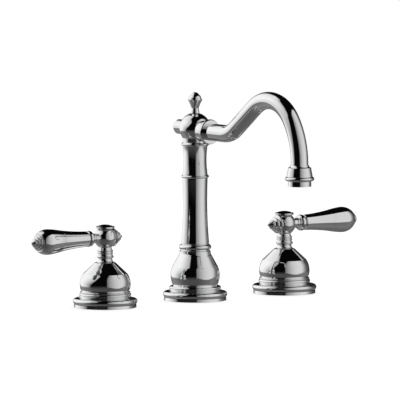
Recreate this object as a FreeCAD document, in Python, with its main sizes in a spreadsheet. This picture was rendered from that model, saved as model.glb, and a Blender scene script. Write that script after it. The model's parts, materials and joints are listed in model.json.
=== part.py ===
"""Roman tub faucet in turned and polished brass, for a tub deck.

A column spout with a swan's-neck tube stands between two lever valves. Each lever turns a
ceramic-disc cartridge by a quarter turn. Millimetres; the origin is the middle of the spout's
inlet on the deck, +Z is up, +X runs along the row of valves and the spout reaches along -Y.
"""
import FreeCAD, Part
import math
import os
import types

import Sketcher

# Every size that can be set by itself. Radii end in _r, heights and lengths say what they span.
SIZES = {
    # Layout on the deck
    "valve_spread": 127.0,
    "running_gap": 0.3,
    "thread_fit": 0.05,
    "spin_fit": 0.05,
    "edge_break": 0.3,
    "cut_margin": 1.0,
    # Gasket and flange, the same under the spout and under both valves
    "gasket_outer_r": 33.2,
    "gasket_wide": 4.0,
    "gasket_ledge": 0.7,
    "gasket_thick": 2.0,
    "flange_foot_wall": 1.1,
    "flange_foot_tall": 3.3,
    "flange_rim_out": 1.2,
    "flange_roll_r": 3.3,
    "flange_step_r": 28.7,
    "flange_step_low": 12.0,
    "flange_step_tall": 3.4,
    "flange_bead": 1.1,
    "flange_top_r": 27.0,
    "flange_tall": 15.8,
    "flange_bore_r": 22.5,
    "flange_lip_thick": 3.5,
    # Valve shank, its washer and its nut
    "shank_r": 14.5,
    "shank_tall": 29.5,
    "inlet_r": 6.5,
    "inlet_deep": 9.0,
    "chamber_r": 11.5,
    "outlet_r": 1.6,
    "outlet_circle_r": 10.6,
    "washer_r": 21.5,
    "washer_thick": 1.6,
    "nut_flats": 36.0,
    "nut_tall": 8.0,
    # Ceramic cartridge
    "seal_thick": 2.0,
    "seal_outer_r": 8.4,
    "disc_r": 8.0,
    "disc_thick": 3.0,
    "disc_port_inner_r": 2.0,
    "disc_port_outer_r": 6.2,
    "disc_port_half_angle": 38.0,
    "sleeve_wall": 1.2,
    "sleeve_tall": 9.0,
    "cartridge_head_flats": 24.0,
    "cartridge_head_tall": 5.0,
    "cartridge_collar_tall": 5.0,
    "cartridge_collar_r": 7.8,
    "window_wide": 6.0,
    "stem_r": 5.5,
    "stem_flange_thick": 4.0,
    "stem_end_play": 1.0,
    "stem_drive_r": 4.2,
    "stem_drive_deep": 13.6,
    "tang_r": 1.2,
    "tang_tall": 1.2,
    "tang_circle_r": 5.6,
    "ring_groove_low": 7.0,
    "ring_section_r": 0.6,
    "lug_tall": 3.0,
    "lug_half_angle": 20.0,
    "lug_gap": 0.2,
    "lug_gap_angle": 0.5,
    "stem_turn_angle": 90.0,
    # Bell over the valve
    "bell_ring_r": 27.3,
    "bell_ring_tall": 1.6,
    "bell_ring_bead": 0.5,
    "bell_groove_r": 26.3,
    "bell_groove_top": 3.2,
    "bell_bulge": 1.9,
    "bell_shoulder_r": 24.4,
    "bell_shoulder_up": 21.2,
    "bell_cone_r": 11.6,
    "bell_cone_up": 33.2,
    "bell_neck_r": 7.8,
    "bell_neck_bore_r": 4.9,
    "bell_cove_up": 37.0,
    "bell_tall": 37.9,
    "bell_wall": 2.8,
    "web_low": 7.0,
    "web_thick": 5.0,
    # Handle hub: ringed neck, ball, sockets
    "hub_foot_r": 8.0,
    "hub_ring_r": 8.5,
    "hub_ring_bead": 1.0,
    "hub_ring_tall": 2.4,
    "hub_taper_up": 4.7,
    "hub_thin_ring_r": 8.0,
    "hub_thin_ring_bead": 0.8,
    "hub_thin_ring_tall": 1.6,
    "hub_thin_ring_step": 2.5,
    "ball_r": 12.5,
    "ball_up": 22.6,
    "ball_top_up": 9.4,
    "ball_neck_down": 10.5,
    "ball_flat": 9.0,
    "screw_bore_r": 4.6,
    "screw_seat_thick": 3.8,
    "handle_screw_r": 2.0,
    "handle_screw_head_r": 3.6,
    "handle_screw_head_tall": 3.4,
    "handle_screw_long": 12.0,
    "screw_key_flats": 2.5,
    "screw_key_deep": 1.8,
    # Cap on top of the hub
    "cap_plug_tall": 5.0,
    "cap_seat_r": 7.2,
    "cap_flare_up": 0.9,
    "cap_rim_r": 10.4,
    "cap_rim_tall": 2.2,
    "cap_groove": 0.5,
    "cap_dome_r": 9.0,
    "cap_dome_tall": 2.0,
    # Stepped finials on the hub and on the lever end
    "spigot_r": 2.5,
    "spigot_long": 3.0,
    "hub_finial_r": 10.3,
    "hub_finial_long": 15.0,
    "lever_finial_r": 8.9,
    "lever_finial_long": 10.2,
    "finial_bead": 1.1,
    "finial_tip_r": 0.5,
    # Lever and its collar
    "tenon_r": 4.0,
    "tenon_start": 6.5,
    "hub_post_r": 5.2,
    "hub_post_end": 15.6,
    "collar_small_bead": 0.6,
    "collar_small_tall": 3.4,
    "collar_roll_r": 3.7,
    "collar_groove_r": 5.3,
    "lever_start_r": 8.5,
    "lever_start_round": 0.6,
    "lever_slim_long": 35.5,
    "lever_slim_r": 11.7,
    "lever_slim_hollow": 0.5,
    "lever_swell_long": 17.5,
    "lever_swell_r": 14.1,
    "lever_swell_bow": 0.25,
    "lever_end_bow": 1.3,
    "lever_end_r": 10.2,
    "lever_end_long": 13.2,
    # Spout base: shank, seals and grub screw
    "spout_inlet_r": 7.5,
    "spout_shank_flats": 27.0,
    "spout_shank_hex_low": 1.6,
    "spout_shank_hex_tall": 8.0,
    "nipple_r": 9.9,
    "nipple_tall": 48.0,
    "nipple_ring_down": 9.0,
    "nipple_ring_step": 4.6,
    "nipple_ring_section_r": 0.9,
    "slide_fit": 0.1,
    "grub_r": 2.5,
    "grub_long": 9.0,
    "grub_up": 6.5,
    "boss_half_tall": 3.6,
    # Spout bulb
    "bulb_groove_r": 24.4,
    "bulb_groove_tall": 1.5,
    "bulb_lip": 0.5,
    "bulb_low_r": 25.3,
    "bulb_bulge": 1.9,
    "bulb_shoulder_r": 25.2,
    "bulb_shoulder_up": 21.2,
    "bulb_cone_r": 18.6,
    "bulb_cone_up": 33.4,
    "bulb_neck_r": 17.2,
    "bulb_cove_up": 36.6,
    "bulb_tall": 38.6,
    "bulb_wall": 3.2,
    "bulb_socket_deep": 19.0,
    # Column, its rings and its upper part
    "low_ring_r": 17.9,
    "low_ring_roll": 2.4,
    "low_ring_tall": 8.6,
    "low_ring_half_roll": 3.0,
    "column_foot_r": 15.6,
    "column_head_r": 13.8,
    "column_hollow": 1.2,
    "column_tall": 71.0,
    "middle_ring_r": 15.3,
    "middle_ring_tall": 6.0,
    "upper_column_foot_r": 13.7,
    "upper_column_head_r": 13.7,
    "upper_column_hollow": 1.1,
    "upper_column_tall": 31.0,
    "riser_r": 9.5,
    "riser_wall": 1.8,
    # Spout hub with its rear cap and finial
    "crown_ring_r": 15.4,
    "crown_ring_tall": 4.0,
    "crown_neck_r": 13.4,
    "crown_ball_r": 17.3,
    "crown_ball_up": 19.2,
    "crown_tube_up": 17.0,
    "crown_neck_down": 10.6,
    "crown_socket_deep": 8.0,
    "rear_cap_r": 8.1,
    "rear_cap_end": 33.0,
    "rear_cap_start": 15.6,
    "rear_spigot_long": 6.0,
    "rear_cap_dome": 4.6,
    "knob_foot_r": 4.8,
    "knob_stem_r": 4.0,
    "knob_waist_up": 5.5,
    "knob_collar_r": 7.9,
    "knob_collar_up": 14.6,
    "knob_dome_r": 6.9,
    "knob_dome_bow": 0.4,
    "knob_shoulder_r": 5.6,
    "knob_shoulder_down": 3.9,
    "knob_tip_r": 3.2,
    "knob_tip_tall": 1.3,
    "knob_tall": 23.1,
    "stud_r": 2.0,
    "stud_long": 14.0,
    # Spout tube, its collar and the outlet
    "tube_r": 9.525,
    "tube_wall": 1.2,
    "tube_start": 12.0,
    "tube_rise_start": 52.0,
    "tube_rise_bend": 31.3,
    "tube_climb_angle": 38.0,
    "tube_crest_bend": 44.0,
    "tube_fall_angle": 53.6,
    "tube_fall_bend": 81.0,
    "tube_reach": 183.0,
    "tube_drop": 12.5,
    "collar_neck_r": 11.6,
    "collar_start": 14.0,
    "collar_neck_end": 23.4,
    "collar_disc_r": 13.9,
    "collar_disc_thick": 4.2,
    "skirt_tube_up": 12.4,
    "skirt_lip_r": 12.8,
    "skirt_lip_tall": 5.6,
    "skirt_roll_r": 16.1,
    "skirt_roll_tall": 4.6,
    "skirt_flare_r": 14.4,
    "skirt_top_r": 12.6,
    "skirt_top_up": 20.6,
    "skirt_tall": 23.4,
    "skirt_wall": 2.0,
    "aerator_tall": 8.0,
    "aerator_inset": 0.8,
    "aerator_seal_thick": 1.6,
    "jet_r": 0.9,
    "jet_circle_r": 5.4,
}
JETS_PER_RING = 10
OUTLETS_PER_SHANK = 3
PORTS_PER_DISC = 2
DRIVE_SIDES = 12

Vec = FreeCAD.Vector
UP, FORWARD, BACKWARD = "up", "forward", "backward"
# Turns that carry a local +Z axis to each direction of the part
DIRECTIONS = {
    UP: FreeCAD.Rotation(),
    "+x": FreeCAD.Rotation(Vec(0, 1, 0), 90),
    "-x": FreeCAD.Rotation(Vec(0, 1, 0), -90),
    FORWARD: FreeCAD.Rotation(Vec(1, 0, 0), 90),
    BACKWARD: FreeCAD.Rotation(Vec(1, 0, 0), -90),
}
PLANES = {"level": "XY_Plane", "front": "XZ_Plane", "side": "YZ_Plane"}

doc = FreeCAD.newDocument("RomanTubFaucet")
sheet = doc.addObject("Spreadsheet::Sheet", "Sizes")


class Size:
    """A length or an angle that knows both its value and its formula in the sheet."""

    def __init__(self, value, formula):
        self.value = value
        self.formula = formula

    def __add__(self, other):
        other = as_size(other)
        return Size(self.value + other.value, f"({self.formula} + {other.formula})")

    def __sub__(self, other):
        other = as_size(other)
        return Size(self.value - other.value, f"({self.formula} - {other.formula})")

    def __mul__(self, other):
        other = as_size(other)
        return Size(self.value * other.value, f"({self.formula} * {other.formula})")

    def __truediv__(self, other):
        other = as_size(other)
        return Size(self.value / other.value, f"({self.formula} / {other.formula})")

    def __radd__(self, other):
        return as_size(other) + self

    def __rsub__(self, other):
        return as_size(other) - self

    def __rmul__(self, other):
        return as_size(other) * self

    def __neg__(self):
        return as_size(0) - self


def as_size(number):
    return number if isinstance(number, Size) else Size(float(number), repr(float(number)))


def root(size):
    return Size(math.sqrt(size.value), f"sqrt({size.formula})")


def cosine(angle):
    angle = as_size(angle)
    return Size(math.cos(math.radians(angle.value)), f"cos({angle.formula})")


def sine(angle):
    angle = as_size(angle)
    return Size(math.sin(math.radians(angle.value)), f"sin({angle.formula})")


def fill_sheet():
    """Write every size into its own named cell."""
    for row, (name, value) in enumerate(SIZES.items(), start=1):
        sheet.set(f"A{row}", name)
        sheet.set(f"B{row}", str(value))
        sheet.setAlias(f"B{row}", name)
    doc.recompute()
    return types.SimpleNamespace(**{name: Size(value, f"Sizes.{name}") for name, value in SIZES.items()})


S = fill_sheet()
HEX_CORNER = 1 / math.cos(math.radians(30))


def bow(rise):
    """An edge that bulges by rise to the right of its direction, or sinks in if rise is negative."""
    return ("rise", as_size(rise))


def round_out(radius):
    return ("radius", as_size(radius), 1)


def round_in(radius):
    return ("radius", as_size(radius), -1)


def dome_round(radius, tall):
    """The arc of a round dome with that foot radius and height, centred on the axis."""
    return round_out((radius * radius + tall * tall) / (tall * 2))


def set_size(feature, path, size):
    """Bind one property of a feature to its formula in the sheet."""
    size = as_size(size)
    feature.setExpression(path, size.formula)


def arc_centre(start, end, edge):
    """Centre of an edge's arc, as Sizes, and the side it bulges to (1 is right of its direction)."""
    across, along = end[0] - start[0], end[1] - start[1]
    chord_squared = across * across + along * along
    if edge[0] == "radius":
        side = edge[2]
        lean = root(edge[1] * edge[1] / chord_squared - 0.25)
    else:
        side = 1 if edge[1].value > 0 else -1
        rise = edge[1] * side
        lean = (chord_squared - rise * rise * 4) / (rise * 8 * root(chord_squared))
    centre = ((start[0] + end[0]) / 2 - along * lean * side, (start[1] + end[1]) / 2 + across * lean * side)
    return centre, side


def draw_arc(sketch, start, end, centre, side):
    """Add the arc about a centre from one corner to the next; say which of its ends comes first."""
    first, last, middle = (Vec(point[0].value, point[1].value, 0) for point in (start, end, centre))
    radius = (first - middle).Length
    if side < 0:
        first, last = last, first
    angles = [math.atan2(point.y - middle.y, point.x - middle.x) for point in (first, last)]
    circle = Part.Circle(middle, Vec(0, 0, 1), radius)
    arc = sketch.addGeometry(Part.ArcOfCircle(circle, *angles), False)
    return (arc, 1, 2) if side > 0 else (arc, 2, 1)


def centre_rule(arc, start, end, centre):
    """Hold an arc's centre along the direction in which it can still slide between fixed ends."""
    if abs((end[1] - start[1]).value) >= abs((end[0] - start[0]).value):
        return Sketcher.Constraint("DistanceX", arc, 3, centre[0].value), centre[0]
    return Sketcher.Constraint("DistanceY", arc, 3, centre[1].value), centre[1]


def pin_point(geometry, point, x, y, rules):
    """Hold a point at (x, y), on the sketch axis where a coordinate is nought."""
    for kind, size, axis in (("DistanceX", x, -2), ("DistanceY", y, -1)):
        if size.value == 0 and "Sizes" not in size.formula:
            rules.append((Sketcher.Constraint("PointOnObject", geometry, point, axis), None))
        else:
            rules.append((Sketcher.Constraint(kind, geometry, point, size.value), size))


def apply_rules(sketch, rules):
    """Add the constraints, then bind each one that has a formula."""
    first = sketch.ConstraintCount
    sketch.addConstraint([rule for rule, _ in rules])
    for index, (_, size) in enumerate(rules, start=first):
        if size is not None:
            sketch.setExpression(f"Constraints[{index}]", size.formula)


def draw_outline(sketch, corners, closed=True):
    """Draw an outline, counter-clockwise, from corners (x, y) or (x, y, edge to the next corner)."""
    points = [(as_size(corner[0]), as_size(corner[1])) for corner in corners]
    edges, rules = [], []
    for index in range(len(corners) if closed else len(corners) - 1):
        start, end = points[index], points[(index + 1) % len(points)]
        if len(corners[index]) == 3:
            centre, side = arc_centre(start, end, corners[index][2])
            edges.append(draw_arc(sketch, start, end, centre, side))
            rules.append(centre_rule(edges[-1][0], start, end, centre))
        else:
            ends = [Vec(point[0].value, point[1].value, 0) for point in (start, end)]
            edges.append((sketch.addGeometry(Part.LineSegment(*ends), False), 1, 2))
    for index, here in enumerate(edges):
        if closed or index > 0:
            before = edges[index - 1]
            rules.append((Sketcher.Constraint("Coincident", before[0], before[2], here[0], here[1]), None))
        pin_point(here[0], here[1], *points[index], rules)
    if not closed:
        pin_point(edges[-1][0], edges[-1][2], *points[-1], rules)
    apply_rules(sketch, rules)


def draw_circles(sketch, *radii):
    """Draw circles about the sketch's origin."""
    rules = []
    for radius in radii:
        radius = as_size(radius)
        circle = sketch.addGeometry(Part.Circle(Vec(), Vec(0, 0, 1), radius.value), False)
        rules.append((Sketcher.Constraint("Coincident", circle, 3, -1, 1), None))
        rules.append((Sketcher.Constraint("Radius", circle, radius.value), radius))
    apply_rules(sketch, rules)


def draw_sector(sketch, inner_r, outer_r, middle, half):
    """Draw a ring sector about the origin, middle degrees round and half degrees to each side."""
    first, last = as_size(middle) - half, as_size(middle) + half
    sag = 1 - cosine(half)
    draw_outline(sketch, [
        (inner_r * cosine(first), inner_r * sine(first)),
        (outer_r * cosine(first), outer_r * sine(first), bow(outer_r * sag)),
        (outer_r * cosine(last), outer_r * sine(last)),
        (inner_r * cosine(last), inner_r * sine(last), bow(-(inner_r * sag))),
    ])


def new_body(label, place=(0, 0, 0), heading=UP, turn=0):
    """An empty body with its own place; turn is about the part's upright axis, in degrees."""
    body = doc.addObject("PartDesign::Body", label)
    body.Label = label
    spin = FreeCAD.Rotation(Vec(0, 0, 1), turn)
    body.Placement = FreeCAD.Placement(Vec(), spin.multiply(DIRECTIONS[heading]))
    for axis, size in zip("xyz", place):
        set_size(body, f"Placement.Base.{axis}", size)
    return body


def attach(feature, body, plane, offset=0, at=(0, 0)):
    """Lay a feature on one of its body's planes, moved along the normal and across the plane."""
    role = PLANES[plane]
    support = next(item for item in body.Origin.OriginFeatures if item.Role == role)
    feature.AttachmentSupport = (support, [""])
    feature.MapMode = "FlatFace"
    for axis, size in zip("xyz", (*at, offset)):
        set_size(feature, f"AttachmentOffset.Base.{axis}", size)


def new_sketch(body, name, plane="front", offset=0):
    sketch = body.newObject("Sketcher::SketchObject", f"{body.Label}_{name}")
    attach(sketch, body, plane, offset)
    return sketch


def turned(label, corners, place=(0, 0, 0), heading=UP, turn=0):
    """A turned piece: an outline of (radius, height) corners revolved about its own axis."""
    body = new_body(label, place, heading, turn)
    sketch = new_sketch(body, "outline")
    draw_outline(sketch, corners)
    turning = body.newObject("PartDesign::Revolution", f"{label}_turning")
    turning.Profile = sketch
    turning.ReferenceAxis = (sketch, ["V_Axis"])
    turning.Angle = 360
    body.Tip = turning
    return body


def primitive(body, kind, name, plane, offset, at=(0, 0), **sizes):
    """Add or cut a simple solid that starts at offset along a plane's normal."""
    feature = body.newObject(f"PartDesign::{kind}", f"{body.Label}_{name}")
    attach(feature, body, plane, offset, at)
    for path, size in sizes.items():
        if path == "Polygon":
            feature.Polygon = size
        else:
            set_size(feature, path, size)
    body.Tip = feature
    return feature


def around(body, feature, count, name):
    """Repeat a feature evenly about its body's own axis."""
    pattern = body.newObject("PartDesign::PolarPattern", f"{body.Label}_{name}")
    pattern.Originals = [feature]
    axis = next(item for item in body.Origin.OriginFeatures if item.Role == "Z_Axis")
    pattern.Axis = (axis, [""])
    pattern.Angle = 360
    pattern.Occurrences = count
    body.Tip = pattern
    return pattern


def cut_sector(body, name, low, tall, inner_r, outer_r, middle, half):
    """Cut a ring sector out of a body, from low upward."""
    sketch = new_sketch(body, f"{name}_outline", "level", low)
    draw_sector(sketch, inner_r, outer_r, middle, half)
    pocket = body.newObject("PartDesign::Pocket", f"{body.Label}_{name}")
    pocket.Profile = sketch
    pocket.Reversed = True
    set_size(pocket, "Length", tall)
    body.Tip = pocket
    return pocket


def add_sector(body, name, low, tall, inner_r, outer_r, middle, half):
    """Add a ring sector to a body, from low upward."""
    sketch = new_sketch(body, f"{name}_outline", "level", low)
    draw_sector(sketch, inner_r, outer_r, middle, half)
    pad = body.newObject("PartDesign::Pad", f"{body.Label}_{name}")
    pad.Profile = sketch
    set_size(pad, "Length", tall)
    body.Tip = pad
    return pad


def gasket_and_flange(name, x):
    """The stepped flange that covers the deck hole, with its gasket let into the underside."""
    gasket_inner_r = S.gasket_outer_r - S.gasket_wide
    turned(f"{name}_gasket", [
        (gasket_inner_r, 0),
        (S.gasket_outer_r, 0),
        (S.gasket_outer_r, S.gasket_thick),
        (gasket_inner_r, S.gasket_thick),
    ], (x, 0, 0))
    recess_r = S.gasket_outer_r + S.slide_fit
    cavity_r = gasket_inner_r - S.gasket_ledge
    foot_r = recess_r + S.flange_foot_wall
    roll_low_r = foot_r + S.flange_rim_out - S.flange_roll_r
    roll_top = S.flange_foot_tall + S.flange_roll_r * 2
    step_r = S.flange_step_r - S.flange_bead
    turned(f"{name}_flange", [
        (recess_r, 0),
        (foot_r, 0),
        (foot_r, S.flange_foot_tall),
        (roll_low_r, S.flange_foot_tall, bow(S.flange_roll_r)),
        (roll_low_r, roll_top, bow(-S.edge_break * 2)),
        (step_r, S.flange_step_low, bow(S.flange_bead)),
        (step_r, S.flange_step_low + S.flange_step_tall),
        (S.flange_top_r, S.flange_tall),
        (S.flange_bore_r, S.flange_tall),
        (S.flange_bore_r, S.flange_tall - S.flange_lip_thick),
        (cavity_r, S.flange_tall - S.flange_lip_thick * 2),
        (cavity_r, S.gasket_thick),
        (recess_r, S.gasket_thick),
    ], (x, 0, 0))


def valve_shank(name, x, turn):
    """Brass shank through the deck, with the cartridge chamber, its washer and its hex nut."""
    shank = turned(f"{name}_valve_body", [
        (S.inlet_r, 0),
        (S.shank_r, 0),
        (S.shank_r, S.shank_tall - S.edge_break * 2),
        (S.shank_r - S.edge_break * 2, S.shank_tall),
        (S.chamber_r, S.shank_tall),
        (S.chamber_r, S.inlet_deep),
        (S.inlet_r, S.inlet_deep),
    ], (x, 0, 0), turn=turn)
    outlet = primitive(shank, "SubtractiveCylinder", "outlet", "level", -S.edge_break, (S.outlet_circle_r, 0),
                       Radius=S.outlet_r, Height=S.inlet_deep + S.edge_break * 2)
    around(shank, outlet, OUTLETS_PER_SHANK, "outlets")
    turned(f"{name}_lock_washer", [
        (S.shank_r + S.running_gap, 0),
        (S.washer_r, 0),
        (S.washer_r, S.washer_thick),
        (S.shank_r + S.running_gap, S.washer_thick),
    ], (x, 0, 0))
    nut = new_body(f"{name}_lock_nut", (x, 0, S.washer_thick), turn=turn)
    primitive(nut, "AdditivePrism", "hexagon", "level", 0, Polygon=6,
              Circumradius=S.nut_flats * (HEX_CORNER / 2), Height=S.nut_tall)
    primitive(nut, "SubtractiveCylinder", "thread", "level", -S.edge_break,
              Radius=S.shank_r + S.thread_fit, Height=S.nut_tall + S.edge_break * 2)


def cartridge(name, x, turn, way):
    """Quarter-turn cartridge: two ported ceramic discs, stem, seals, and the stop that limits it."""
    low = S.inlet_deep + S.seal_thick
    head_seat = S.shank_tall - low
    collar_low = head_seat + S.cartridge_head_tall
    top = collar_low + S.cartridge_collar_tall
    bore_r = S.disc_r + S.slide_fit
    sleeve_r = bore_r + S.sleeve_wall
    stem_bore_r = S.stem_r + S.spin_fit
    stack_top = S.disc_thick * 2 + S.stem_flange_thick + S.stem_end_play
    turned(f"{name}_seat_seal", [
        (S.inlet_r + S.slide_fit, 0),
        (S.seal_outer_r, 0),
        (S.seal_outer_r, S.seal_thick),
        (S.inlet_r + S.slide_fit, S.seal_thick),
    ], (x, 0, S.inlet_deep))

    housing = turned(f"{name}_cartridge_body", [
        (bore_r, 0),
        (sleeve_r, 0),
        (sleeve_r, S.sleeve_tall),
        (S.chamber_r - S.thread_fit, S.sleeve_tall + S.edge_break * 2),
        (S.chamber_r - S.thread_fit, head_seat),
        (S.cartridge_head_flats / 2, head_seat),
        (S.cartridge_head_flats / 2, collar_low),
        (S.cartridge_collar_r, collar_low),
        (S.cartridge_collar_r, top),
        (stem_bore_r, top),
        (stem_bore_r, stack_top),
        (bore_r, stack_top),
    ], (x, 0, low), turn=turn)
    primitive(housing, "AdditivePrism", "hexagon", "level", head_seat, Polygon=6,
              Circumradius=S.cartridge_head_flats * (HEX_CORNER / 2), Height=S.cartridge_head_tall)
    primitive(housing, "SubtractiveCylinder", "stem_bore", "level", head_seat - S.edge_break,
              Radius=stem_bore_r, Height=S.cartridge_head_tall + S.edge_break * 2)
    window_long = (sleeve_r + S.edge_break) * 2
    primitive(housing, "SubtractiveBox", "windows", "level", S.disc_thick + S.lug_gap,
              (-(window_long / 2), -(S.window_wide / 2)),
              Length=window_long, Width=S.window_wide, Height=S.disc_thick - S.lug_gap * 2)
    cut_sector(housing, "stop_slot", top - S.lug_tall - S.lug_gap, S.lug_tall + S.lug_gap * 2,
               S.stem_r - S.edge_break, S.cartridge_collar_r + S.edge_break, S.stem_turn_angle * (way / 2),
               S.stem_turn_angle / 2 + S.lug_half_angle + S.lug_gap_angle)

    for disc_name, disc_low, first_port in (("fixed_disc", 0, 0), ("moving_disc", S.disc_thick, S.stem_turn_angle)):
        disc = new_body(f"{name}_{disc_name}", (x, 0, low + disc_low), turn=turn)
        primitive(disc, "AdditiveCylinder", "blank", "level", 0, Radius=S.disc_r, Height=S.disc_thick)
        port = cut_sector(disc, "port", 0, S.disc_thick, S.disc_port_inner_r, S.disc_port_outer_r,
                          first_port, S.disc_port_half_angle)
        around(disc, port, PORTS_PER_DISC, "ports")
        if disc_name == "moving_disc":
            recess = primitive(disc, "SubtractiveCylinder", "tang_recess", "level",
                               S.disc_thick - S.tang_tall - S.slide_fit, (S.tang_circle_r, 0),
                               Radius=S.tang_r + S.slide_fit, Height=S.tang_tall + S.edge_break)
            around(disc, recess, PORTS_PER_DISC, "tang_recesses")

    stem_low = low + S.disc_thick * 2
    shoulder = low + top - stem_low
    hub_low = S.flange_tall + S.bell_tall + S.running_gap
    stem_top = hub_low + S.stem_drive_deep - stem_low
    groove_r = S.stem_r - S.ring_section_r * 2
    groove_top = S.ring_groove_low + S.ring_section_r * 2 + S.slide_fit * 2
    stem = turned(f"{name}_stem", [
        (0, 0),
        (S.disc_r - S.slide_fit, 0),
        (S.disc_r - S.slide_fit, S.stem_flange_thick),
        (S.stem_r, S.stem_flange_thick),
        (S.stem_r, S.ring_groove_low),
        (groove_r, S.ring_groove_low),
        (groove_r, groove_top),
        (S.stem_r, groove_top),
        (S.stem_r, shoulder),
        (0, shoulder),
    ], (x, 0, stem_low), turn=turn)
    add_sector(stem, "stop_lug", shoulder - S.lug_tall, S.lug_tall, S.stem_r - S.edge_break,
               S.cartridge_collar_r - S.slide_fit, 0, S.lug_half_angle)
    primitive(stem, "AdditivePrism", "drive", "level", shoulder, Polygon=DRIVE_SIDES,
              Circumradius=S.stem_drive_r, Height=stem_top - shoulder)
    screw_low = hub_low + S.stem_drive_deep + S.running_gap + S.screw_seat_thick - S.handle_screw_long
    hole_low = screw_low - stem_low - S.edge_break * 3
    primitive(stem, "SubtractiveCylinder", "screw_hole", "level", hole_low,
              Radius=S.handle_screw_r + S.thread_fit, Height=stem_top - hole_low + S.edge_break)
    tang = primitive(stem, "AdditiveCylinder", "tang", "level", -S.tang_tall, (S.tang_circle_r, 0),
                     Radius=S.tang_r, Height=S.tang_tall)
    around(stem, tang, PORTS_PER_DISC, "tangs")

    ring_up = stem_low + S.ring_groove_low + S.ring_section_r + S.slide_fit
    ring = new_body(f"{name}_stem_oring", (x, 0, ring_up))
    primitive(ring, "AdditiveTorus", "ring", "level", 0,
              Radius1=S.stem_r - S.ring_section_r, Radius2=S.ring_section_r)


def bell(name, x):
    """The bell over the valve, threaded to the shank by the web inside it."""
    thread_r = S.shank_r + S.thread_fit
    inner_r = S.bell_ring_r - S.bell_wall
    bulge_low = S.bell_groove_top + S.bell_ring_bead
    turned(f"{name}_bell", [
        (inner_r, 0),
        (S.bell_ring_r, 0, bow(S.bell_ring_bead)),
        (S.bell_ring_r, S.bell_ring_tall),
        (S.bell_groove_r, S.bell_ring_tall + S.edge_break),
        (S.bell_groove_r, S.bell_groove_top),
        (S.bell_ring_r, bulge_low, bow(S.bell_bulge)),
        (S.bell_shoulder_r, S.bell_shoulder_up),
        (S.bell_cone_r, S.bell_cone_up, bow(-S.edge_break * 3)),
        (S.bell_neck_r, S.bell_cove_up),
        (S.bell_neck_r, S.bell_tall),
        (S.bell_neck_bore_r, S.bell_tall),
        (S.bell_neck_bore_r, S.bell_cone_up + S.bell_wall / 2),
        (S.bell_cone_r - S.bell_wall, S.bell_cone_up),
        (S.bell_shoulder_r - S.bell_wall, S.bell_shoulder_up),
        (inner_r, S.web_low + S.web_thick + S.bell_wall),
        (inner_r, S.web_low + S.web_thick),
        (thread_r, S.web_low + S.web_thick),
        (thread_r, S.web_low),
        (inner_r, S.web_low),
    ], (x, 0, S.flange_tall))


def handle_hub(name, x, turn):
    """Ball hub on a ringed neck, bored for the stem, its screw, the lever and the finial."""
    seat = S.stem_drive_deep + S.running_gap + S.screw_seat_thick
    through_r = S.handle_screw_r + S.running_gap
    neck_r = root(S.ball_r * S.ball_r - S.ball_neck_down * S.ball_neck_down)
    top_r = root(S.ball_r * S.ball_r - S.ball_top_up * S.ball_top_up)
    top = S.ball_up + S.ball_top_up
    rings = []
    for index in range(2):
        ring_low = S.hub_taper_up + S.hub_thin_ring_step * index
        rings.append((S.hub_thin_ring_r, ring_low, bow(S.hub_thin_ring_bead)))
        rings.append((S.hub_thin_ring_r, ring_low + S.hub_thin_ring_tall))
    hub_low = S.flange_tall + S.bell_tall + S.running_gap
    hub = turned(f"{name}_hub", [
        (0, 0),
        (S.hub_foot_r, 0),
        (S.hub_ring_r, S.edge_break, bow(S.hub_ring_bead)),
        (S.hub_ring_r, S.edge_break + S.hub_ring_tall),
        *rings,
        (neck_r, S.ball_up - S.ball_neck_down, round_out(S.ball_r)),
        (S.ball_r, S.ball_up, round_out(S.ball_r)),
        (top_r, top),
        (S.screw_bore_r, top),
        (S.screw_bore_r, seat),
        (through_r, seat),
        (through_r, S.stem_drive_deep + S.running_gap),
        (0, S.stem_drive_deep + S.running_gap),
    ], (x, 0, hub_low), turn=turn)
    primitive(hub, "SubtractivePrism", "drive_socket", "level", -S.edge_break, Polygon=DRIVE_SIDES,
              Circumradius=S.stem_drive_r + S.spin_fit,
              Height=S.stem_drive_deep + S.running_gap + S.edge_break)
    primitive(hub, "SubtractiveBox", "finial_flat", "side", -(S.ball_r + S.cut_margin),
              (-S.ball_r, S.ball_up - S.ball_r),
              Length=S.ball_r * 2, Width=S.ball_r * 2, Height=S.ball_r + S.cut_margin - S.ball_flat)
    primitive(hub, "SubtractiveCylinder", "finial_bore", "side", -(S.ball_flat + S.cut_margin),
              (0, S.ball_up), Radius=S.spigot_r + S.thread_fit,
              Height=S.spigot_long + S.running_gap + S.cut_margin)
    primitive(hub, "AdditiveCylinder", "lever_post", "side", S.tenon_start, (0, S.ball_up),
              Radius=S.hub_post_r, Height=S.hub_post_end - S.tenon_start)
    bore_start = S.tenon_start - S.running_gap
    primitive(hub, "SubtractiveCylinder", "lever_bore", "side", bore_start, (0, S.ball_up),
              Radius=S.tenon_r + S.thread_fit, Height=S.hub_post_end - bore_start + S.cut_margin)

    head_top = S.handle_screw_long + S.handle_screw_head_tall
    screw = turned(f"{name}_handle_screw", [
        (0, 0),
        (S.handle_screw_r - S.edge_break, 0),
        (S.handle_screw_r, S.edge_break),
        (S.handle_screw_r, S.handle_screw_long),
        (S.handle_screw_head_r, S.handle_screw_long),
        (S.handle_screw_head_r, head_top),
        (0, head_top),
    ], (x, 0, hub_low + seat - S.handle_screw_long))
    primitive(screw, "SubtractivePrism", "key_recess", "level", head_top - S.screw_key_deep, Polygon=6,
              Circumradius=S.screw_key_flats * (HEX_CORNER / 2), Height=S.screw_key_deep + S.edge_break)

    cap_cover(name, x, hub_low + top)


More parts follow.
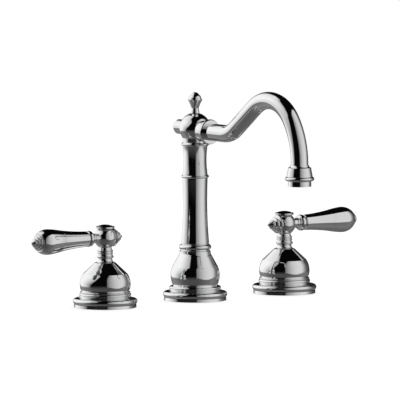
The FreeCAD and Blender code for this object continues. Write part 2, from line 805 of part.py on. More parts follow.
def cap_cover(name, x, seat_up):
    """Plain domed cap with a grooved rim, plugged into the top of the hub."""
    low = S.cap_plug_tall + S.cap_flare_up
    half = S.cap_rim_tall / 2
    turned(f"{name}_cap", [
        (0, 0),
        (S.screw_bore_r - S.spin_fit, 0),
        (S.screw_bore_r - S.spin_fit, S.cap_plug_tall),
        (S.cap_seat_r, S.cap_plug_tall),
        (S.cap_rim_r - S.cap_groove, low),
        (S.cap_rim_r, low + S.edge_break),
        (S.cap_rim_r, low + half - S.edge_break),
        (S.cap_rim_r - S.cap_groove, low + half),
        (S.cap_rim_r, low + half + S.edge_break),
        (S.cap_rim_r, low + S.cap_rim_tall - S.edge_break),
        (S.cap_rim_r - S.cap_groove, low + S.cap_rim_tall),
        (S.cap_dome_r, low + S.cap_rim_tall, dome_round(S.cap_dome_r, S.cap_dome_tall)),
        (0, low + S.cap_rim_tall + S.cap_dome_tall),
    ], (x, 0, seat_up - S.cap_plug_tall))


# Radius and place of each ring of a stepped finial, as shares of its base radius and its length
FINIAL_RINGS = ((1.0, 0.0), (0.77, 0.24), (0.53, 0.5))


def stepped_finial(label, base_r, long, place, heading):
    """Pointed finial of three shrinking rings on a threaded spigot."""
    corners = [(0, 0), (S.spigot_r, 0), (S.spigot_r, S.spigot_long)]
    for radius_share, place_share in FINIAL_RINGS:
        ring_r = base_r * radius_share - S.finial_bead
        ring_low = S.spigot_long + long * place_share
        corners.append((ring_r, ring_low, bow(S.finial_bead)))
        corners.append((ring_r, ring_low + S.finial_bead * 2))
    corners.append((S.finial_tip_r, S.spigot_long + long - S.finial_tip_r, round_out(S.finial_tip_r)))
    corners.append((0, S.spigot_long + long))
    turned(label, corners, place, heading)


def lever(name, x, way_out, heading, opposite):
    """Turned lever on its collar, screwed into the hub, with finials at both ends."""
    axis_up = S.flange_tall + S.bell_tall + S.running_gap + S.ball_up
    bore_r = S.tenon_r + S.thread_fit
    roll_low = S.edge_break * 2 + S.collar_small_tall
    collar_long = roll_low + S.collar_roll_r * 2
    turned(f"{name}_lever_collar", [
        (bore_r, 0),
        (S.collar_groove_r, 0),
        (S.collar_groove_r, S.edge_break, bow(S.collar_small_bead)),
        (S.collar_groove_r, S.edge_break + S.collar_small_tall),
        (S.collar_groove_r, roll_low, bow(S.collar_roll_r)),
        (S.collar_groove_r, collar_long),
        (bore_r, collar_long),
    ], (x + S.hub_post_end * way_out, 0, axis_up), heading)

    start = S.hub_post_end + collar_long - S.tenon_start
    slim_end = start + S.lever_slim_long
    swell_end = slim_end + S.lever_swell_long
    end = swell_end + S.lever_end_long
    body = turned(f"{name}_lever", [
        (0, 0),
        (S.tenon_r, 0),
        (S.tenon_r, start),
        (S.lever_start_r - S.lever_start_round, start, round_out(S.lever_start_round)),
        (S.lever_start_r, start + S.lever_start_round, bow(-S.lever_slim_hollow)),
        (S.lever_slim_r, slim_end, bow(S.lever_swell_bow)),
        (S.lever_swell_r, swell_end, bow(S.lever_end_bow)),
        (S.lever_end_r, end),
        (0, end),
    ], (x + S.tenon_start * way_out, 0, axis_up), heading)
    bore_low = end - S.spigot_long - S.running_gap
    primitive(body, "SubtractiveCylinder", "finial_bore", "level", bore_low,
              Radius=S.spigot_r + S.thread_fit, Height=S.spigot_long + S.running_gap + S.cut_margin)

    stepped_finial(f"{name}_lever_finial", S.lever_finial_r, S.lever_finial_long,
                   (x + (S.tenon_start + end - S.spigot_long) * way_out, 0, axis_up), heading)
    stepped_finial(f"{name}_hub_finial", S.hub_finial_r, S.hub_finial_long,
                   (x - (S.ball_flat - S.spigot_long) * way_out, 0, axis_up), opposite)


def valve_unit(name, side):
    """One whole valve; side is +1 on the right and -1 on the left, where all is turned half round."""
    x = S.valve_spread * side
    turn = 0 if side > 0 else 180
    gasket_and_flange(name, x)
    valve_shank(name, x, turn)
    cartridge(name, x, turn, -side)
    bell(name, x)
    handle_hub(name, x, turn)
    if side > 0:
        lever(name, x, side, "+x", "-x")
    else:
        lever(name, x, side, "-x", "+x")


def spout_base():
    """Shank, nipple and seals under the spout, the bulb that slides over them, and its grub screw."""
    bulb_low = S.flange_tall
    hex_top = S.spout_shank_hex_low + S.spout_shank_hex_tall
    shank = turned("spout_shank", [
        (S.spout_inlet_r, 0),
        (S.spout_shank_flats / 2, 0),
        (S.spout_shank_flats / 2, hex_top),
        (S.nipple_r, hex_top + S.edge_break),
        (S.nipple_r, S.nipple_tall - S.edge_break * 2),
        (S.nipple_r - S.edge_break * 2, S.nipple_tall),
        (S.spout_inlet_r, S.nipple_tall),
    ])
    primitive(shank, "AdditivePrism", "hexagon", "level", S.spout_shank_hex_low, Polygon=6,
              Circumradius=S.spout_shank_flats * (HEX_CORNER / 2), Height=S.spout_shank_hex_tall)
    primitive(shank, "SubtractiveCylinder", "waterway", "level", -S.edge_break,
              Radius=S.spout_inlet_r, Height=S.nipple_tall + S.edge_break * 2)
    for index, name in enumerate(("lower", "upper")):
        ring_up = S.nipple_tall - S.nipple_ring_down + S.nipple_ring_step * index
        centre_r = S.nipple_r - S.nipple_ring_section_r + S.slide_fit / 2
        primitive(shank, "SubtractiveTorus", f"{name}_groove", "level", ring_up,
                  Radius1=centre_r, Radius2=S.nipple_ring_section_r + S.slide_fit / 2)
        ring = new_body(f"shank_oring_{name}", (0, 0, ring_up))
        primitive(ring, "AdditiveTorus", "ring", "level", 0,
                  Radius1=centre_r, Radius2=S.nipple_ring_section_r)

    slide_r = S.nipple_r + S.slide_fit
    low_inner_r = S.bulb_groove_r - S.bulb_wall
    socket_low = S.bulb_tall - S.bulb_socket_deep
    boss_low = S.grub_up - S.boss_half_tall
    boss_top = S.grub_up + S.boss_half_tall
    bulb = turned("spout_bulb", [
        (low_inner_r, 0),
        (S.bulb_groove_r, 0),
        (S.bulb_groove_r, S.bulb_groove_tall),
        (S.bulb_low_r, S.bulb_groove_tall + S.bulb_lip, bow(S.bulb_bulge)),
        (S.bulb_shoulder_r, S.bulb_shoulder_up),
        (S.bulb_cone_r, S.bulb_cone_up, bow(-S.edge_break)),
        (S.bulb_neck_r, S.bulb_cove_up),
        (S.bulb_neck_r, S.bulb_tall),
        (slide_r, S.bulb_tall),
        (slide_r, socket_low),
        (low_inner_r, socket_low - S.bulb_wall),
        (low_inner_r, boss_top),
        (slide_r, boss_top),
        (slide_r, boss_low),
        (low_inner_r, boss_low),
    ], (0, 0, bulb_low))
    primitive(bulb, "SubtractiveCylinder", "grub_hole", "front", -(S.bulb_shoulder_r + S.bulb_bulge * 2),
              (0, S.grub_up), Radius=S.grub_r + S.thread_fit,
              Height=S.bulb_shoulder_r + S.bulb_bulge * 2 - S.nipple_r)
    grub_start = S.nipple_r + S.spin_fit
    grub = turned("grub_screw", [
        (0, 0),
        (S.grub_r - S.edge_break, 0),
        (S.grub_r, S.edge_break),
        (S.grub_r, S.grub_long),
        (0, S.grub_long),
    ], (0, grub_start, bulb_low + S.grub_up), BACKWARD)
    primitive(grub, "SubtractivePrism", "key_recess", "level", S.grub_long - S.screw_key_deep, Polygon=6,
              Circumradius=S.screw_key_flats * (HEX_CORNER / 2), Height=S.screw_key_deep + S.edge_break)


def column_stack():
    """Rings and tapered column lengths between the bulb and the hub; returns the hub's height."""
    bore_r = S.riser_r + S.slide_fit
    up = S.flange_tall + S.bulb_tall
    edge = (S.low_ring_tall - S.low_ring_half_roll * 2) / 2
    foot_r = S.low_ring_r - S.low_ring_roll
    turned("spout_lower_ring", [
        (bore_r, 0),
        (S.bulb_neck_r - S.edge_break, 0, bow(-S.edge_break)),
        (foot_r, edge, bow(S.low_ring_roll)),
        (foot_r, edge + S.low_ring_half_roll * 2, bow(-S.edge_break)),
        (S.column_foot_r, S.low_ring_tall),
        (bore_r, S.low_ring_tall),
    ], (0, 0, up))
    up = up + S.low_ring_tall
    turned("spout_column", [
        (bore_r, 0),
        (S.column_foot_r, 0, bow(-S.column_hollow)),
        (S.column_head_r, S.column_tall),
        (bore_r, S.column_tall),
    ], (0, 0, up))
    up = up + S.column_tall
    half = S.middle_ring_tall / 2
    roll = S.middle_ring_r - S.column_head_r
    turned("spout_middle_ring", [
        (bore_r, 0),
        (S.column_head_r, 0),
        (S.column_head_r, half - roll, bow(roll)),
        (S.column_head_r, half + roll),
        (S.upper_column_foot_r, S.middle_ring_tall),
        (bore_r, S.middle_ring_tall),
    ], (0, 0, up))
    up = up + S.middle_ring_tall
    turned("spout_upper_column", [
        (bore_r, 0),
        (S.upper_column_foot_r, 0, bow(-S.upper_column_hollow)),
        (S.upper_column_head_r, S.upper_column_tall),
        (bore_r, S.upper_column_tall),
    ], (0, 0, up))
    up = up + S.upper_column_tall
    riser_low = S.nipple_tall + S.edge_break
    riser_top = up + S.crown_socket_deep - S.edge_break
    turned("spout_riser", [
        (S.riser_r - S.riser_wall, 0),
        (S.riser_r, 0),
        (S.riser_r, riser_top - riser_low),
        (S.riser_r - S.riser_wall, riser_top - riser_low),
    ], (0, 0, riser_low))
    return up


def spout_head(hub_low):
    """Ball hub of the spout with its collar, rear cap, and the knob screwed on top by a stud."""
    neck_r = root(S.crown_ball_r * S.crown_ball_r - S.crown_neck_down * S.crown_neck_down)
    socket_r = S.riser_r + S.thread_fit
    waterway_r = S.riser_r - S.riser_wall
    ring_r = S.crown_ring_r - S.edge_break * 3
    hub = turned("spout_hub", [
        (socket_r, 0),
        (ring_r, 0),
        (ring_r, S.edge_break, bow(S.edge_break * 3)),
        (ring_r, S.crown_ring_tall - S.edge_break * 3),
        (S.crown_neck_r, S.crown_ring_tall),
        (neck_r, S.crown_ball_up - S.crown_neck_down, round_out(S.crown_ball_r)),
        (S.crown_ball_r, S.crown_ball_up, round_out(S.crown_ball_r)),
        (0, S.crown_ball_up + S.crown_ball_r),
        (0, S.crown_tube_up),
        (waterway_r, S.crown_tube_up),
        (waterway_r, S.crown_socket_deep),
        (socket_r, S.crown_socket_deep),
    ], (0, 0, hub_low))
    cut_start = S.crown_ball_r + S.cut_margin
    primitive(hub, "SubtractiveCylinder", "tube_bore", "front", 0, (0, S.crown_tube_up),
              Radius=S.tube_r + S.thread_fit, Height=cut_start)
    rear_bore = S.rear_cap_start - S.rear_spigot_long - S.running_gap
    primitive(hub, "SubtractiveCylinder", "rear_bore", "front", -cut_start, (0, S.crown_ball_up),
              Radius=S.rear_cap_r / 2 + S.thread_fit, Height=cut_start - rear_bore)
    primitive(hub, "SubtractiveCylinder", "rear_seat", "front", -cut_start, (0, S.crown_ball_up),
              Radius=S.rear_cap_r + S.thread_fit, Height=cut_start - S.rear_cap_start)
    knob_low = S.crown_ball_up + S.crown_ball_r - S.edge_break
    stud_low = knob_low - S.stud_long / 2
    primitive(hub, "SubtractiveCylinder", "knob_seat", "level", knob_low,
              Radius=S.knob_foot_r + S.thread_fit, Height=S.edge_break * 3)
    primitive(hub, "SubtractiveCylinder", "stud_bore", "level", stud_low - S.edge_break,
              Radius=S.stud_r + S.thread_fit, Height=S.stud_long / 2 + S.edge_break * 3)

    cap_long = S.rear_cap_end - S.rear_cap_start + S.rear_spigot_long
    cap_edge = cap_long - S.rear_cap_dome
    turned("spout_rear_cap", [
        (0, 0),
        (S.rear_cap_r / 2, 0),
        (S.rear_cap_r / 2, S.rear_spigot_long),
        (S.rear_cap_r, S.rear_spigot_long),
        (S.rear_cap_r, cap_edge, dome_round(S.rear_cap_r, S.rear_cap_dome)),
        (0, cap_long),
    ], (0, S.rear_cap_start - S.rear_spigot_long, hub_low + S.crown_ball_up), BACKWARD)

    axis_up = hub_low + S.crown_tube_up
    collar_bore_r = S.tube_r + S.thread_fit
    disc_low = S.collar_neck_end - S.collar_start
    turned("spout_collar", [
        (collar_bore_r, 0),
        (S.collar_neck_r, 0),
        (S.collar_neck_r, disc_low - S.edge_break),
        (S.collar_disc_r - S.edge_break * 3, disc_low, bow(S.edge_break * 3)),
        (S.collar_disc_r - S.edge_break * 3, disc_low + S.collar_disc_thick),
        (collar_bore_r, disc_low + S.collar_disc_thick),
    ], (0, -S.collar_start, axis_up), FORWARD)
    primitive(hub, "SubtractiveCylinder", "collar_seat", "front", S.collar_start, (0, S.crown_tube_up),
              Radius=S.collar_neck_r + S.thread_fit, Height=S.crown_ball_r)

    knob_bore_r = S.stud_r + S.thread_fit
    knob_bore_top = S.stud_long / 2 + S.edge_break
    dome_low = S.knob_collar_up + S.edge_break * 3
    turned("spout_knob", [
        (knob_bore_r, 0),
        (S.knob_foot_r, 0),
        (S.knob_foot_r, S.edge_break * 2),
        (S.knob_stem_r, S.knob_waist_up, bow(-S.edge_break)),
        (S.knob_collar_r, S.knob_collar_up),
        (S.knob_collar_r, S.knob_collar_up + S.edge_break * 2),
        (S.knob_dome_r, dome_low, bow(S.knob_dome_bow)),
        (S.knob_shoulder_r, S.knob_tall - S.knob_shoulder_down),
        (S.knob_tip_r, S.knob_tall - S.knob_tip_tall, dome_round(S.knob_tip_r, S.knob_tip_tall)),
        (0, S.knob_tall),
        (0, knob_bore_top),
        (knob_bore_r, knob_bore_top),
    ], (0, 0, hub_low + knob_low))
    turned("knob_stud", [
        (0, 0),
        (S.stud_r, 0),
        (S.stud_r, S.stud_long),
        (0, S.stud_long),
    ], (0, 0, hub_low + stud_low))
    return axis_up


def tube_route():
    """Corners of the tube's centre line: level, up a slope, over the crest and down to the outlet."""
    climb_x, climb_y = sine(S.tube_climb_angle), cosine(S.tube_climb_angle)
    fall_x, fall_y = sine(S.tube_fall_angle), cosine(S.tube_fall_angle)
    drop_x = S.tube_reach - S.tube_fall_bend * (1 - fall_x)
    crest_start_x = drop_x - S.tube_crest_bend * (climb_x + fall_x)
    climb_start_x = S.tube_rise_start + S.tube_rise_bend * climb_x
    climb_start_y = S.tube_rise_bend * (1 - climb_y)
    crest_start_y = climb_start_y + (crest_start_x - climb_start_x) * climb_x / climb_y
    drop_y = crest_start_y + S.tube_crest_bend * (fall_y - climb_y)
    fall_end_y = drop_y - S.tube_fall_bend * fall_y
    return [
        (S.tube_start, 0),
        (S.tube_rise_start, 0, round_out(S.tube_rise_bend)),
        (climb_start_x, climb_start_y),
        (crest_start_x, crest_start_y, round_in(S.tube_crest_bend)),
        (drop_x, drop_y, round_in(S.tube_fall_bend)),
        (S.tube_reach, fall_end_y),
        (S.tube_reach, fall_end_y - S.tube_drop),
    ]


def spout_tube(axis_up):
    """Swan's-neck tube, one bore bent three times and swept along its line; returns its end's height."""
    corners = tube_route()
    tube = new_body("spout_tube", (0, 0, axis_up), turn=-90)
    route = new_sketch(tube, "route")
    draw_outline(route, corners, closed=False)
    section = new_sketch(tube, "section", "side", S.tube_start)
    draw_circles(section, S.tube_r, S.tube_r - S.tube_wall)
    sweep = tube.newObject("PartDesign::AdditivePipe", "spout_tube_sweep")
    sweep.Profile = section
    sweep.Spine = route
    tube.Tip = sweep
    return axis_up + corners[-1][1]


def outlet(tube_end_up):
    """Flared outlet over the tube's end, holding the seal and the jet insert."""
    low = tube_end_up - S.skirt_tube_up
    bore_r = S.skirt_lip_r - S.skirt_wall
    seal_low = S.aerator_inset + S.aerator_tall
    shelf = seal_low + S.aerator_seal_thick
    tube_bore_r = S.tube_r + S.thread_fit
    roll_low = S.skirt_lip_tall + S.edge_break
    roll_top = roll_low + S.skirt_roll_tall
    half = S.skirt_roll_tall / 2
    turned("outlet_skirt", [
        (bore_r, 0),
        (S.skirt_lip_r, 0),
        (S.skirt_lip_r, S.skirt_lip_tall),
        (S.skirt_roll_r - half, roll_low, bow(half)),
        (S.skirt_roll_r - half, roll_top),
        (S.skirt_flare_r, roll_top + S.edge_break),
        (S.skirt_top_r, S.skirt_top_up),
        (S.skirt_top_r - S.edge_break * 3, S.skirt_top_up + S.edge_break, bow(-S.edge_break)),
        (tube_bore_r + S.edge_break * 2, S.skirt_tall),
        (tube_bore_r, S.skirt_tall),
        (tube_bore_r, S.skirt_tube_up),
        (S.tube_r - S.tube_wall, S.skirt_tube_up),
        (S.tube_r - S.tube_wall, shelf),
        (bore_r, shelf),
    ], (0, -S.tube_reach, low))
    turned("aerator_washer", [
        (S.tube_r - S.tube_wall, 0),
        (bore_r - S.slide_fit, 0),
        (bore_r - S.slide_fit, S.aerator_seal_thick),
        (S.tube_r - S.tube_wall, S.aerator_seal_thick),
    ], (0, -S.tube_reach, low + seal_low))
    insert_r = bore_r - S.thread_fit
    insert = turned("aerator_insert", [
        (0, 0),
        (insert_r, 0),
        (insert_r, S.aerator_tall),
        (insert_r - S.skirt_wall, S.aerator_tall),
        (insert_r - S.skirt_wall, S.skirt_wall),
        (0, S.skirt_wall),
    ], (0, -S.tube_reach, low + S.aerator_inset))
    jet = primitive(insert, "SubtractiveCylinder", "jet", "level", -S.edge_break, (S.jet_circle_r, 0),
                    Radius=S.jet_r, Height=S.skirt_wall + S.edge_break * 2)
    around(insert, jet, JETS_PER_RING, "jets")


def check_document():
    """Stop if any object of the document failed, or any piece has no sound solid."""
    doc.recompute()
    for item in doc.Objects:
        if {"Invalid", "Error"} & set(item.State):
            raise RuntimeError(f"{item.Label} failed: {item.State}")
    bodies = [item for item in doc.Objects if item.TypeId == "PartDesign::Body"]
    for body in bodies:
        if body.Shape.isNull() or not body.Shape.isValid() or len(body.Shape.Solids) != 1:
            raise RuntimeError(f"{body.Label} is not one sound solid")
    return bodies


def build():
    gasket_and_flange("spout", 0)
    spout_base()
    hub_low = column_stack()
    outlet(spout_tube(spout_head(hub_low)))
    for name, side in (("left", -1), ("right", 1)):
        valve_unit(name, side)
    os.makedirs("parts", exist_ok=True)
    for body in check_document():
        body.Shape.exportStep(f"parts/{body.Label}.step")


build()
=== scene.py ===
"""A chrome tub filler in a bright studio: a column spout between two lever valves.

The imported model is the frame. This script gives each piece its finish, sets a tent of light and dark
round the part for the metal to mirror, and looks at it from the photograph's angle.
"""

import json
import math

import bmesh
import bpy
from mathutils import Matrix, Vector


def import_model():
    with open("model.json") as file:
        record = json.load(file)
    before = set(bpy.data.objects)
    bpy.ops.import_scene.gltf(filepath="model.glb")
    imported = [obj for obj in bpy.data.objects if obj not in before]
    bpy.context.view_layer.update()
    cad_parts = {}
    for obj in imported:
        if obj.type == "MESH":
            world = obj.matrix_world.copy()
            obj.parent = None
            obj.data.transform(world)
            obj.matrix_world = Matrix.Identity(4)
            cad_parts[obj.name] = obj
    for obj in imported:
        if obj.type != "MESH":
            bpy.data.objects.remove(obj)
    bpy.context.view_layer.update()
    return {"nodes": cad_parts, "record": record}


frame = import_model()
nodes = frame["nodes"]

# The photograph: a long lens, far off, to the left of the part's front and a little above it. The picture's
# width is measured at the part, and its middle lies right of the frame's origin and above it
VIEW_AZIMUTH = math.radians(-38.8)
VIEW_ELEVATION = math.radians(5.4)
VIEW_DISTANCE = 20.0
VIEW_WIDTH = 0.4433
AIM_RIGHT = 0.0054
AIM_UP = 0.1096
SENSOR_WIDTH = 36.0
CLIP_NEAR = 1.0
CLIP_FAR = 40.0

# Finishes: the clouds of colour are this many times coarser than the grain, and a noise value is taken to
# lie between a low and a high
CLOUD_TO_GRAIN = 6.0
CLOUD_DETAIL = 2.0
GRAIN_DETAIL = 4.0
NOISE_LOW = 0.3
NOISE_HIGH = 0.7

# The tent round the part, which only the metal mirrors. Angles are in degrees. A bearing counts to the
# right from the camera's side. A list holds stops of an angle and a value, with straight steps between.
# A pair of numbers is where a change begins and where it is complete
TENT_CENTRE = Vector((0.0, 0.0, 0.08))
TENT_RADIUS = 2.5
TENT_STEP = 1.5
BLACK = 0.002

# White wall at the left: the bearing of its edge by elevation, and its light by the distance from there,
# first low down and then higher up. Near the top it is a little dimmer
LEFT_EDGE = ((-15, -72), (0, -67), (20, -50), (46, -34), (60, -46), (80, -110))
LEFT_LOW = ((-3, BLACK), (8, 0.3), (17, 0.5), (37, 0.82), (58, 1.0))
LEFT_HIGH = ((-2, BLACK), (2, 0.48), (22, 0.68), (45, 0.93), (58, 1.0))
LEFT_HIGH_UP = (0.0, 25.0)
LEFT_TOP_LIGHT = 0.8
LEFT_TOP_UP = (30.0, 55.0)

# Light panel at the right, by bearing. Its near corner is rounded off high up. Farther round, where that
# ends, each degree of elevation carries the light outward by a share of a degree
RIGHT_PANEL = ((5, BLACK), (9, 0.19), (25, 0.38), (45, 0.58), (65, 0.69), (85, 0.71), (95, 0.58),
               (110, 0.26), (125, 0.09), (150, 0.05), (180, 0.02))
RIGHT_CORNER = ((30, 0), (40, 3), (50, 9), (60, 24))
RIGHT_CORNER_TO = (30.0, 60.0)
RIGHT_LEAN = 0.35
RIGHT_LEAN_FROM = (40.0, 85.0)

# Darkness behind the part: the bearing where the left wall ends, by elevation, and where the right wall
# goes dark, by bearing and by elevation
REAR_EDGE = ((0, -164), (30, -158), (60, -146))
REAR_BLUR = 9.0
REAR_DARK_FROM = (120.0, 135.0)
REAR_DARK_UP = (5.0, 30.0)

# Dark ceiling: the elevation of its edge by bearing
CEILING = ((-180, 22), (-160, 58), (-125, 77), (-75, 78), (7, 61.5), (80, 61.5), (100, 57), (120, 44),
           (140, 28), (180, 22))
CEILING_BLUR = 1.5

# Grey ground: the elevation of its rim, how far that is blurred, and its light, all by bearing. Its light
# right under the part is the same all round
GROUND_RIM = ((-180, -3), (-135, -9), (-60, -13), (12, -11), (45, -18.5), (65, -18), (105, -8), (180, -10))
GROUND_BLUR = ((-80, 1.5), (-60, 8), (0, 8), (12, 1.5))
GROUND_LIGHT = ((-180, 0.2), (-120, 0.24), (-60, 0.085), (-30, 0.068), (12, 0.068), (50, 0.12), (95, 0.19),
                (150, 0.12), (180, 0.15))
GROUND_DEEP = 0.11
GROUND_DEEP_DOWN = (50.0, 85.0)

# White floor, just under the part: its own glow, and a paint that takes the shadow
FLOOR_RADIUS = 1.2
FLOOR_SIDES = 96
FLOOR_DROP = 0.0004
FLOOR_GLOW = 0.68
FLOOR_PAINT = (0.4, 0.4, 0.4, 1.0)


def direction(bearing, elevation):
    """The way to a point of the tent, by its bearing from the camera's side and its elevation."""
    turn = VIEW_AZIMUTH + math.radians(bearing)
    tilt = math.radians(elevation)
    return Vector((math.sin(turn) * math.cos(tilt), -math.cos(turn) * math.cos(tilt), math.sin(tilt)))


def node_material(name):
    """A new material with only its output, its nodes and its links."""
    material = bpy.data.materials.new(name)
    material.use_nodes = True
    tree = material.node_tree
    tree.nodes.clear()
    output = tree.nodes.new("ShaderNodeOutputMaterial")
    return material, tree, output


def noise(tree, coordinates, scale, detail):
    """A noise texture over the piece."""
    node = tree.nodes.new("ShaderNodeTexNoise")
    node.inputs["Scale"].default_value = scale
    node.inputs["Detail"].default_value = detail
    tree.links.new(coordinates, node.inputs["Vector"])
    return node.outputs["Fac"]


def spread(tree, value, low, high):
    """A noise value, spread from low to high."""
    node = tree.nodes.new("ShaderNodeMapRange")
    node.inputs["From Min"].default_value = NOISE_LOW
    node.inputs["From Max"].default_value = NOISE_HIGH
    node.inputs["To Min"].default_value = low
    node.inputs["To Max"].default_value = high
    tree.links.new(value, node.inputs["Value"])
    return node.outputs["Result"]


def surface(name, dark, light, metallic, rough, grain, bump):
    """A finish whose colour goes between two tones, with its own polish, grain and fine relief."""
    material, tree, output = node_material(name)
    shader = tree.nodes.new("ShaderNodeBsdfPrincipled")
    shader.inputs["Metallic"].default_value = metallic
    place = tree.nodes.new("ShaderNodeTexCoord").outputs["Object"]
    cloud = noise(tree, place, grain / CLOUD_TO_GRAIN, CLOUD_DETAIL)
    ramp = tree.nodes.new("ShaderNodeValToRGB")
    ramp.color_ramp.elements[0].position = NOISE_LOW
    ramp.color_ramp.elements[0].color = (*dark, 1.0)
    ramp.color_ramp.elements[1].position = NOISE_HIGH
    ramp.color_ramp.elements[1].color = (*light, 1.0)
    tree.links.new(cloud, ramp.inputs["Fac"])
    tree.links.new(ramp.outputs["Color"], shader.inputs["Base Color"])
    fine = noise(tree, place, grain, GRAIN_DETAIL)
    tree.links.new(spread(tree, fine, *rough), shader.inputs["Roughness"])
    relief = tree.nodes.new("ShaderNodeBump")
    relief.inputs["Strength"].default_value = 1.0
    relief.inputs["Distance"].default_value = bump
    tree.links.new(fine, relief.inputs["Height"])
    tree.links.new(relief.outputs["Normal"], shader.inputs["Normal"])
    tree.links.new(shader.outputs["BSDF"], output.inputs["Surface"])
    return material


def finishes():
    """One finish for each material slot of the record."""
    return {
        "polished_chrome": surface("chrome", dark=(0.88, 0.885, 0.89), light=(0.93, 0.93, 0.935),
                                   metallic=1.0, rough=(0.015, 0.05), grain=60.0, bump=0.0000004),
        "brass": surface("brass", dark=(0.62, 0.44, 0.19), light=(0.76, 0.58, 0.30),
                         metallic=1.0, rough=(0.2, 0.36), grain=700.0, bump=0.00002),
        "steel": surface("steel", dark=(0.44, 0.44, 0.45), light=(0.56, 0.56, 0.57),
                         metallic=1.0, rough=(0.25, 0.4), grain=900.0, bump=0.00002),
        "rubber": surface("rubber", dark=(0.012, 0.012, 0.012), light=(0.03, 0.03, 0.03),
                          metallic=0.0, rough=(0.6, 0.8), grain=900.0, bump=0.00004),
        "ceramic": surface("ceramic", dark=(0.84, 0.83, 0.8), light=(0.9, 0.89, 0.87),
                           metallic=0.0, rough=(0.12, 0.2), grain=500.0, bump=0.000005),
        "plastic": surface("plastic", dark=(0.6, 0.61, 0.62), light=(0.7, 0.71, 0.72),
                           metallic=0.0, rough=(0.35, 0.5), grain=600.0, bump=0.00002),
    }


def dress_nodes():
    """Each CAD node takes the finish of its slot in the record."""
    finish = finishes()
    for part in frame["record"]["subparts"]:
        piece = nodes[part["node"]]
        piece.data.materials.clear()
        piece.data.materials.append(finish[part["material_slot"]])


def tent_material():
    """Glows as bright as the light value of its own mesh."""
    material, tree, output = node_material("tent")
    light = tree.nodes.new("ShaderNodeAttribute")
    light.attribute_name = "light"
    shader = tree.nodes.new("ShaderNodeEmission")
    tree.links.new(light.outputs["Fac"], shader.inputs["Strength"])
    tree.links.new(shader.outputs["Emission"], output.inputs["Surface"])
    return material


def stage_mesh(name, mesh_data, material):
    """An object of the studio, which isn't part of the faucet."""
    mesh = bpy.data.meshes.new(name)
    mesh_data.to_mesh(mesh)
    mesh_data.free()
    mesh.materials.append(material)
    thing = bpy.data.objects.new(name, mesh)
    bpy.context.scene.collection.objects.link(thing)
    return thing


def mirror_only(thing):
    """Seen in the metal, and neither by the camera nor by the soft light."""
    thing.visible_camera = False
    thing.visible_diffuse = False
    thing.visible_shadow = False
    thing.visible_transmission = False


def blend(first, last, share):
    """The value at a share of the way from first to last."""
    return first + (last - first) * share


def rise(value, low, high):
    """0 up to low, 1 from high on, and an even change between them."""
    return min(1.0, max(0.0, (value - low) / (high - low)))


def along(stops, angle):
    """The value of a list of stops at an angle."""
    for first, last in zip(stops, stops[1:]):
        if angle < last[0]:
            return blend(first[1], last[1], rise(angle, first[0], last[0]))
    return stops[-1][1]


def left_wall(bearing, elevation):
    """White space with a soft fall toward the dark front, and darkness behind."""
    distance = along(LEFT_EDGE, elevation) - bearing
    light = blend(along(LEFT_LOW, distance), along(LEFT_HIGH, distance), rise(elevation, *LEFT_HIGH_UP))
    light *= blend(1.0, LEFT_TOP_LIGHT, rise(elevation, *LEFT_TOP_UP))
    rear = along(REAR_EDGE, elevation)
    return blend(BLACK, light, rise(bearing, rear - REAR_BLUR, rear + REAR_BLUR))


def right_wall(bearing, elevation):
    """The light panel, and past it the darkness behind."""
    corner = along(RIGHT_CORNER, elevation) * (1.0 - rise(bearing, *RIGHT_CORNER_TO))
    lean = RIGHT_LEAN * max(elevation, 0.0) * rise(bearing, *RIGHT_LEAN_FROM)
    behind = rise(bearing, *REAR_DARK_FROM) * rise(elevation, *REAR_DARK_UP)
    return blend(along(RIGHT_PANEL, bearing - corner - lean), BLACK, behind)


def tent_light(bearing, elevation):
    """The brightness of the tent at a bearing and an elevation."""
    wall = left_wall(bearing, elevation) if bearing < 0.0 else right_wall(bearing, elevation)
    top = along(CEILING, bearing)
    wall = blend(wall, BLACK, rise(elevation, top - CEILING_BLUR, top + CEILING_BLUR))
    ground = blend(along(GROUND_LIGHT, bearing), GROUND_DEEP, rise(-elevation, *GROUND_DEEP_DOWN))
    rim = along(GROUND_RIM, bearing)
    blur = along(GROUND_BLUR, bearing)
    return blend(ground, wall, rise(elevation, rim - blur, rim + blur))


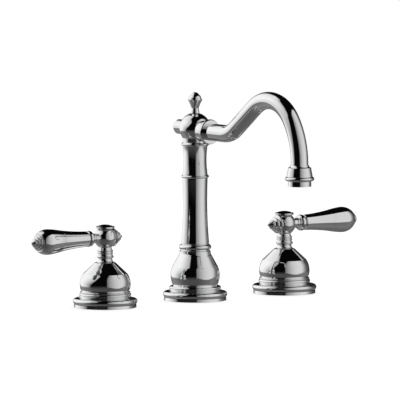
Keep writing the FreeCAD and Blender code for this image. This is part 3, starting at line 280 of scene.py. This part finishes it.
def tent():
    """A closed ball of light and dark round the part, for the metal to mirror."""
    columns = round(360 / TENT_STEP)
    rows = round(180 / TENT_STEP)
    mesh = bmesh.new()
    light = mesh.verts.layers.float.new("light")
    grid = []
    for row in range(rows + 1):
        elevation = blend(-90.0, 90.0, row / rows)
        line = []
        for column in range(columns + 1):
            bearing = blend(-180.0, 180.0, column / columns)
            corner = mesh.verts.new(TENT_CENTRE + TENT_RADIUS * direction(bearing, elevation))
            corner[light] = tent_light(bearing, elevation)
            line.append(corner)
        grid.append(line)
    for below, above in zip(grid, grid[1:]):
        for column in range(columns):
            mesh.faces.new((below[column], below[column + 1], above[column + 1], above[column]))
    mirror_only(stage_mesh("tent", mesh, tent_material()))


def floor():
    """A white floor that keeps a faint shadow of the part, and that the metal doesn't mirror."""
    flat = bmesh.new()
    bmesh.ops.create_circle(flat, cap_ends=True, segments=FLOOR_SIDES, radius=FLOOR_RADIUS)
    material, tree, output = node_material("floor")
    glow = tree.nodes.new("ShaderNodeEmission")
    glow.inputs["Strength"].default_value = FLOOR_GLOW
    paint = tree.nodes.new("ShaderNodeBsdfDiffuse")
    paint.inputs["Color"].default_value = FLOOR_PAINT
    both = tree.nodes.new("ShaderNodeAddShader")
    tree.links.new(glow.outputs["Emission"], both.inputs[0])
    tree.links.new(paint.outputs["BSDF"], both.inputs[1])
    tree.links.new(both.outputs["Shader"], output.inputs["Surface"])
    ground = stage_mesh("floor", flat, material)
    ground.location.z = -FLOOR_DROP
    ground.visible_glossy = False
    ground.visible_diffuse = False


def world():
    """White space all round."""
    space = bpy.data.worlds.new("white_space")
    bpy.context.scene.world = space
    space.use_nodes = True
    back = space.node_tree.nodes["Background"]
    back.inputs["Color"].default_value = (1.0, 1.0, 1.0, 1.0)
    back.inputs["Strength"].default_value = 1.0


def camera():
    """The photograph's view."""
    back = direction(0.0, math.degrees(VIEW_ELEVATION))
    right = Vector((math.cos(VIEW_AZIMUTH), math.sin(VIEW_AZIMUTH), 0.0))
    up = back.cross(right)
    data = bpy.data.cameras.new("camera")
    data.sensor_width = SENSOR_WIDTH
    data.lens = SENSOR_WIDTH * VIEW_DISTANCE / VIEW_WIDTH
    data.clip_start = CLIP_NEAR
    data.clip_end = CLIP_FAR
    eye = bpy.data.objects.new("camera", data)
    eye.location = AIM_RIGHT * right + AIM_UP * up + VIEW_DISTANCE * back
    eye.rotation_mode = "QUATERNION"
    eye.rotation_quaternion = (-back).to_track_quat("-Z", "Y")
    bpy.context.scene.collection.objects.link(eye)
    bpy.context.scene.camera = eye


dress_nodes()
tent()
floor()
world()
camera()
bpy.context.scene.view_settings.view_transform = "Standard"
